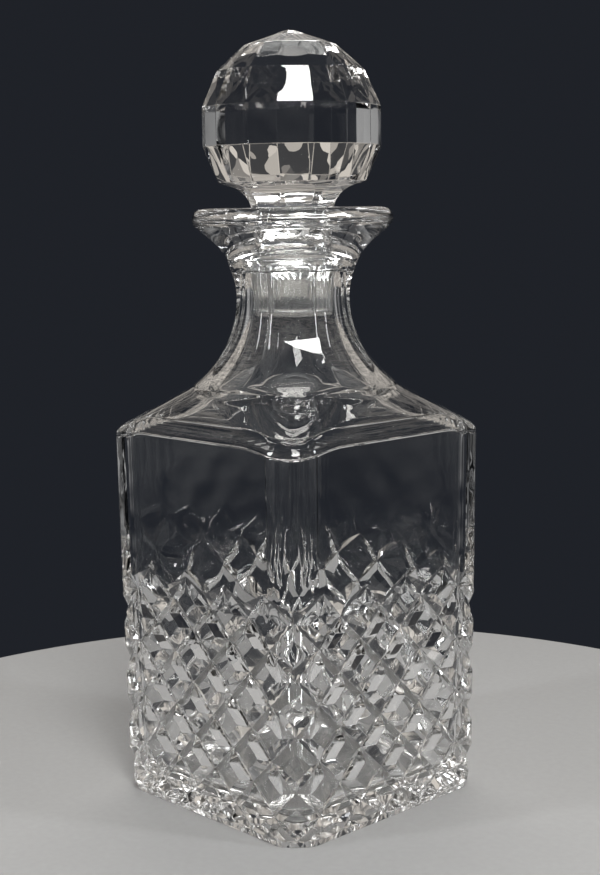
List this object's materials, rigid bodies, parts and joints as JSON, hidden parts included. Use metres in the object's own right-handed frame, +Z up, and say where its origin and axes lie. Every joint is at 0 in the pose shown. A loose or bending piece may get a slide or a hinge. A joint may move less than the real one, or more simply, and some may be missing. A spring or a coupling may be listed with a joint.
{
  "type": "cut crystal decanter",
  "caption": "Square cut crystal decanter with a diamond lattice belly, fluted neck, wide round lip and a faceted ball stopper in a clear sealing sleeve.",
  "frame": {"origin": "centre of the base, on the table", "axes": "+Z up along the neck; X and Y square to the flat faces of the belly"},
  "size_m": [0.0906, 0.0906, 0.2505],
  "materials": {
    "crystal": "polished, clear",
    "stopper_crystal": "polished, clear",
    "sleeve": "clear, glossy"
  },
  "bodies": {
    "decanter": {"decanter_body": "crystal"},
    "sleeve": {"stopper_sleeve": "sleeve"},
    "stopper": {"stopper": "stopper_crystal"}
  },
  "joints": [
    {"name": "stopper_lift", "type": "slide", "parent": "decanter", "child": "sleeve", "axis": [0, 0, 1], "range_m": [0, 0.06]},
    {"name": "stopper_turn", "type": "hinge", "parent": "sleeve", "child": "stopper", "pos_m": [0, 0, 0.18], "axis": [0, 0, 1], "continuous": true}
  ]
}
